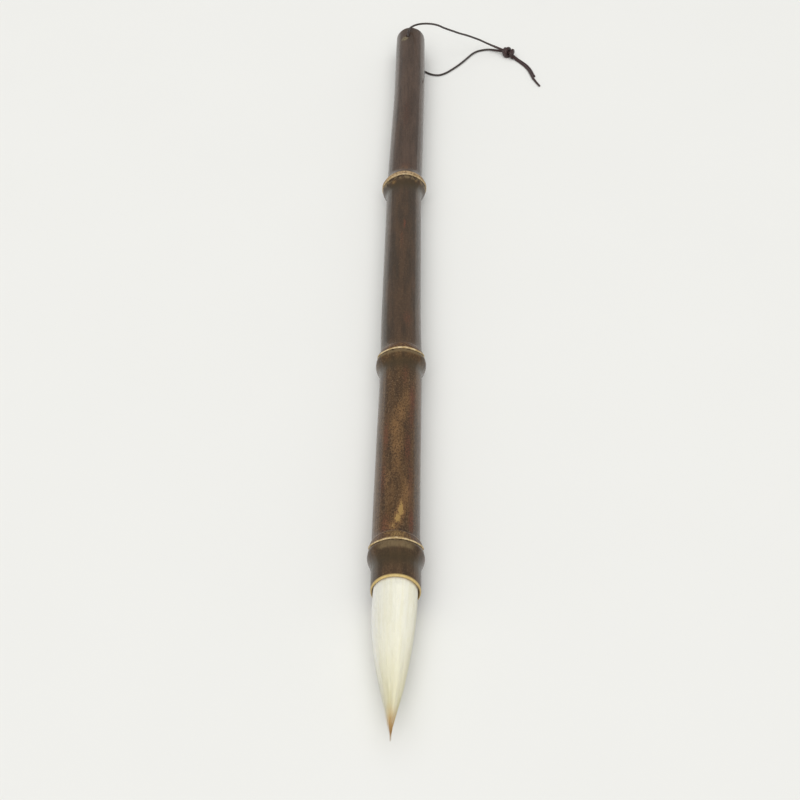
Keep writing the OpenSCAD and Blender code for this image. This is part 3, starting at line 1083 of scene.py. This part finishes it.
# The sheath scars
SHEATH_RED = (0.078, 0.030, 0.014)
SHEATH_GOLD = (0.24, 0.135, 0.045)
SHEATH_DARK = (0.024, 0.011, 0.006)
SHEATH_BARE = (0.42, 0.30, 0.165)
# Pale rear lip of the stubs, with a painted highlight at the sides
SHEATH_LIP_AND_HIGHLIGHT = (0.42, 0.31, 0.2)
SHEATH_MARK = (0.31, 0.2, 0.075)
SHEATH_RIM = ((0.40, 0.27, 0.11), (0.70, 0.55, 0.32))

# Hair: pale and deep near the mouth, ochre, tan and brown toward the point, and its root inside,
# painted darker as shade
COVER_COLOURS = (
    (0.875, 0.86, 0.74), (0.77, 0.735, 0.53), (0.65, 0.60, 0.37),
    (0.62, 0.42, 0.155), (0.46, 0.265, 0.085), (0.5, 0.38, 0.2),
)  # fmt: skip
CORE_COLOURS = (
    (0.52, 0.38, 0.22), (0.45, 0.32, 0.16), (0.48, 0.33, 0.15),
    (0.52, 0.33, 0.12), (0.40, 0.22, 0.075), (0.4, 0.28, 0.15),
)  # fmt: skip

# The gloss of the soft cover hair, and of the sleeker core hair
SOFT = dict(Sheen_Weight=1.0, Sheen_Roughness=0.5, Specular_IOR_Level=0.1)
SLEEK = dict(Specular_IOR_Level=0.3)

# Other matters: a darker and a lighter colour
PLUG_WOOD = ((0.020, 0.009, 0.006), (0.075, 0.032, 0.018))
CORD_PLAIN = ((0.020, 0.013, 0.010), (0.045, 0.029, 0.023))
CORD_WORN = ((0.020, 0.008, 0.007), (0.050, 0.017, 0.015))
# Painted shade in the valleys between the cord's plies
CORD_VALLEY_SHADE = (0.008, 0.003, 0.003)
FLOOR_COLOURS = ((0.803, 0.803, 0.775), (0.818, 0.818, 0.79))

# Parts in the socket: material, darker and lighter colour, roughness, grain, its depth, coat
GRAINS = {
    "socket_glue": ("set_glue", (0.35, 0.26, 0.14), (0.6, 0.5, 0.32), 0.4, 1.5, 0.05, 0.0),
    "root_seal": ("rosin", (0.28, 0.12, 0.03), (0.55, 0.3, 0.08), 0.15, 0.8, 0.03, 0.5),
    "root_binding_thread": ("thread", (0.62, 0.56, 0.44), (0.86, 0.82, 0.7), 0.8, 8, 0.04, 0.0),
}


def bamboo_stain(shader, internode):
    """Streaked, mottled brown of the pole and the stubs. Returns its fibres and speckle."""
    fibres = shader.noise(4.0, 0.12, 3)
    clouds = shader.step(shader.noise(0.5, 0.06, 3), 0.36, 0.64)
    speckle = shader.noise(2.8, 1.7, 5, 0.8)
    shader.base = shader.mix(*STAIN_FRONT, clouds)
    shader.layer(shader.mix(*STAIN_MIDDLE, clouds), shader.step(internode, 0.1, 0.5))
    shader.layer(shader.mix(*STAIN_REAR, clouds), shader.step(internode, 0.5, 0.9))
    shader.layer(DARK_FIBRES, shader.step(fibres, 0.52, 0.78, 0, 0.45))
    return fibres, speckle


def add_speckle(shader, speckle, front):
    """Light and dark speckle, which fades out toward the pole's rear."""
    light = shader.times(shader.step(speckle, 0.5, 0.66), front)
    shader.layer(LIGHT_SPECKLE, shader.times(light, 0.65))
    dark = shader.times(shader.step(speckle, 0.36, 0.5, 1, 0), front)
    shader.layer(DARK_SPECKLE, shader.times(dark, 0.75))


def add_marks(shader, speckle):
    """Red and golden marks, broken up by the speckle. Behind the rear joint they also carry a
    painted highlight.
    """
    red = shader.broken("red", speckle, 0.38, 0.62, 0.3, 1.2)
    shader.layer(RED_MARK, shader.step(red, 0.1, 0.9, 0, 0.8))
    glow = shader.broken("gold", speckle, 0.36, 0.6, 0.35, 1.2)
    shader.layer(GOLD_GLOW, shader.step(glow, 0.1, 0.8, 0, 0.75))
    solid = shader.broken("gold", speckle, 0.3, 0.55, 0.7, 1.1)
    shader.layer(GOLD_MARK, shader.step(solid, 0.72, 0.95))


def add_flecks(shader, patchy, front):
    """Pale flecks, which lie in patches."""
    flecks = shader.step(shader.cells(2.4, 0.75), 0.10, 0.24, 1, 0)
    flecks = shader.times(flecks, shader.step(patchy, 0.42, 0.66))
    flecks = shader.times(flecks, front)
    shader.layer(PALE_FLECKS, shader.times(flecks, 0.5))


def add_joint_marks(shader, patchy, internode):
    """Each joint's dark zone, partly stain and partly painted shade, its scar, and painted shade in
    its groove. Only the front joint's scar has gaps.
    """
    # Dark zone ahead of each joint: partly stain, partly painted shade
    shader.layer(DARK_STAIN_AND_SHADE, shader.times(shader.attribute("dark_stain_and_shade"), 0.75))
    blotches = shader.noise(0.9, 0.9, 4, 0.65)
    whole = shader.step(internode, 0.3, 0.6, 1.0, 0.0)
    gaps = shader.math("MAXIMUM", shader.step(blotches, 0.42, 0.56), whole)
    scar = shader.times(shader.broken("scar", patchy, 0.25, 0.6, 0.35, 1.0), gaps)
    shader.layer(JOINT_SCAR, shader.times(scar, 0.75))
    # Painted shade in the groove at each rim
    shader.layer(JOINT_GROOVE_SHADE, shader.broken("groove_shade", blotches, 0.4, 0.58, 1.0, 0.15))


def add_cuts(shader, speckle):
    """Where the stain is missing: the chip, the sawn rear end, the mouth and the socket."""
    chip = shader.step(shader.times(shader.attribute("chip"), speckle), 0.12, 0.34)
    chip = shader.times(chip, shader.step(shader.cells(2.6, 2.6), 0.3, 0.55, 1.0, 0.25))
    shader.layer(CHIPPED, shader.times(chip, 0.9))
    pores = shader.step(shader.cells(3.2, 0.4), 0.15, 0.35, 0.35, 1.0)
    shader.layer(shader.mix(*SAWN_END, pores), shader.attribute("cut_end"))
    raw = shader.mix(*BARE_MOUTH, shader.noise(2.0, 2.0, 3))
    # The bare mouth shows less at the sides of its inner part: painted shade
    shader.layer(raw, shader.attribute("bare"))
    shader.layer(SOCKET_WALL, shader.attribute("inside"))


def pole_material():
    shader = Shader("lacquered_bamboo", 0.42, **POLE_GLOSS)
    internode = shader.attribute("internode")
    fibres, speckle = bamboo_stain(shader, internode)
    patchy = shader.noise(1.7, 0.55, 5, 0.7)
    front = shader.step(internode, 0.05, 0.55, 1.0, 0.3)
    add_speckle(shader, speckle, front)
    add_marks(shader, speckle)
    add_flecks(shader, patchy, front)
    add_joint_marks(shader, patchy, internode)
    add_cuts(shader, speckle)
    shader.rough(shader.step(patchy, 0.3, 0.7, 0.36, 0.52))
    relief = shader.math("ADD", fibres, shader.times(shader.noise(2.0, 0.5, 3), 0.8))
    shader.bump(relief, 0.012)
    return shader.finish()


def stub_material():
    shader = Shader("sheath_scar", 0.5, **SHEATH_GLOSS)
    fibres, speckle = bamboo_stain(shader, shader.attribute("internode"))
    mottle = shader.noise(1.9, 1.3, 5, 0.7)
    weather = shader.step(shader.noise(1.5, 1.5, 4), 0.34, 0.62)
    shader.layer(SHEATH_RED, 0.6)
    shader.layer(SHEATH_GOLD, shader.step(mottle, 0.48, 0.66, 0, 0.85))
    shader.layer(SHEATH_DARK, shader.step(speckle, 0.34, 0.48, 0.7, 0))
    shader.layer(SHEATH_BARE, shader.broken("bare", mottle, 0.4, 0.55, 0.35, 1.0))
    # Pale rear lip, with a painted highlight at the sides
    shader.layer(SHEATH_LIP_AND_HIGHLIGHT, shader.broken("lip", mottle, 0.4, 0.6, 0.3, 0.8))
    shader.layer(SHEATH_MARK, shader.broken("gold", speckle, 0.4, 0.58, 0.1, 1.0))
    rim = shader.broken("rim", mottle, 0.32, 0.5, 0.6, 1.0)
    shader.layer(shader.mix(*SHEATH_RIM, weather), rim)
    shader.bump(shader.math("ADD", fibres, mottle), 0.03)
    return shader.finish()


def plug_material():
    shader = Shader("turned_plug", 0.4, Coat_Weight=0.8, Coat_Roughness=0.15)
    rings = shader.noise(3.2, 0.1, 4, 0.6, 1.5)
    shader.base = shader.mix(*PLUG_WOOD, shader.step(rings, 0.35, 0.65))
    shader.rough(shader.step(rings, 0.3, 0.7, 0.32, 0.5))
    shader.bump(rings, 0.02)
    return shader.finish()


def colour_hair(shader, colours):
    """Pale at the mouth and browner toward the tuft's point, strand by strand."""
    pale, deep, ochre, tan, brown, root = colours
    tint = shader.attribute("tint")
    ahead = shader.attribute("ahead")
    wisps = shader.noise(1.2, 0.05, 3)
    streaks = shader.step(wisps, 0.35, 0.6, 0.35, 1.0)
    unevenness = shader.times(shader.math("SUBTRACT", tint, 0.5), 0.08)
    shift = shader.math("ADD", ahead, unevenness)
    shader.base = shader.mix(pale, deep, shader.step(tint, 0.3, 1.0, 0, 0.35))
    shader.layer(deep, shader.step(wisps, 0.42, 0.7, 0, 0.45))
    shader.layer(deep, shader.step(shift, 0.25, 0.8))
    shader.layer(ochre, shader.times(shader.step(shift, 0.6, 0.86), streaks))
    shader.layer(tan, shader.step(shift, 0.79, 0.94))
    shader.layer(brown, shader.step(shift, 0.88, 1.0))
    # Painted shade: the hair inside the socket is darker
    shader.layer(root, shader.step(ahead, -0.02, 0.02, 1, 0))


def hair_material(name, colours, roughness, grain, depth, **gloss):
    """Hair whose roughness varies from strand to strand between two values."""
    shader = Shader(name, roughness[0], **gloss)
    colour_hair(shader, colours)
    shader.rough(shader.step(shader.attribute("tint"), 0, 1, *roughness))
    shader.bump(shader.noise(*grain, 3), depth)
    return shader.finish()


def cord_material():
    shader = Shader("waxed_cord", 0.42, Sheen_Weight=0.15, Specular_IOR_Level=0.5)
    fibres = shader.noise(14.0, 14.0, 3)
    shader.base = shader.mix(*CORD_PLAIN, fibres)
    shader.layer(shader.mix(*CORD_WORN, fibres), shader.attribute("worn"))
    # Painted shade in the valleys between the plies
    shader.layer(CORD_VALLEY_SHADE, shader.step(shader.attribute("ply"), 0.05, 0.5, 0.65, 0.0))
    shader.rough(shader.step(fibres, 0.3, 0.7, 0.34, 0.55))
    shader.bump(fibres, 0.02)
    return shader.finish()


def grainy_material(name, dark, light, roughness, size, depth, coat):
    """A plain matter with a fine irregular grain: glue, rosin and thread."""
    shader = Shader(name, roughness, Coat_Weight=coat)
    grain = shader.noise(size, size, 4, 0.6)
    shader.base = shader.mix(dark, light, shader.step(grain, 0.3, 0.7))
    shader.rough(shader.step(grain, 0.3, 0.7, roughness - 0.06, roughness + 0.1))
    shader.bump(grain, depth)
    return shader.finish()


def floor_material():
    shader = Shader("pale_floor", 0.6, Specular_IOR_Level=0.2)
    shader.base = shader.mix(*FLOOR_COLOURS, shader.noise(0.02, 0.02, 2))
    return shader.finish()


def dress(piece, material):
    piece.data.materials.clear()
    piece.data.materials.append(material)


def add_floor():
    bpy.ops.mesh.primitive_plane_add(size=FLOOR_SIZE)
    floor = bpy.context.object
    floor.name = "floor"
    dress(floor, floor_material())


# ---- The scene ----


def make_loop(material):
    upper, upper_path = make_strand("loop_strand_upper", UPPER_ROUTE, "loop_cord_upper", 0.0)
    lower, lower_path = make_strand("loop_strand_lower", LOWER_ROUTE, "loop_cord_lower", END_SWELL)
    knot = make_knot()
    for piece in (upper, lower, knot):
        dress(piece, material)


def make_handle():
    pole = make_pole()
    dress(pole, pole_material())
    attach(pole, "handle")
    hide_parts("culm")
    scar = stub_material()
    for joint in range(len(STUBS)):
        stub = make_stub(joint)
        dress(stub, scar)
        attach(stub, "handle")
        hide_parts(STUBS[joint])


def make_tuft():
    rng = np.random.default_rng(TUFT_SEED)
    cover = hair_material("goat_hair", COVER_COLOURS, (0.52, 0.7), (7.0, 0.1), 0.008, **SOFT)
    waist = hair_material("waist_hair", COVER_COLOURS, (0.62, 0.8), (7.0, 0.1), 0.008, **SOFT)
    core = hair_material("core_hair", CORE_COLOURS, (0.42, 0.6), (9.0, 0.12), 0.02, **SLEEK)
    pieces = (
        (make_cover_body(rng), cover, "cover_hair", ("cover_hair_root", "cover_hair_tip")),
        (make_waist_body(rng), waist, "waist_hair", ("waist_hair",)),
        (make_core_body(rng), core, "core_hair", ("core_hair_root", "core_hair_point")),
        (make_hairs("cover_hair_strands", rng, **COVER_HAIRS), cover, "cover_hair", ()),
        (make_hairs("core_hair_strands", rng, **CORE_HAIRS), core, "core_hair", ()),
    )
    for piece, material, slot, nodes in pieces:
        dress(piece, material)
        if nodes:
            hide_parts(*nodes)
        bend_with_tuft(piece)


def dress_inner_parts():
    """The CAD solids hidden in the socket and the plug keep their shapes."""
    dress(frame["nodes"]["end_plug"], plug_material())
    for node, grain in GRAINS.items():
        dress(frame["nodes"][node], grainy_material(*grain))


add_camera()
make_loop(cord_material())
add_lights()
add_floor()
make_handle()
make_tuft()
dress_inner_parts()
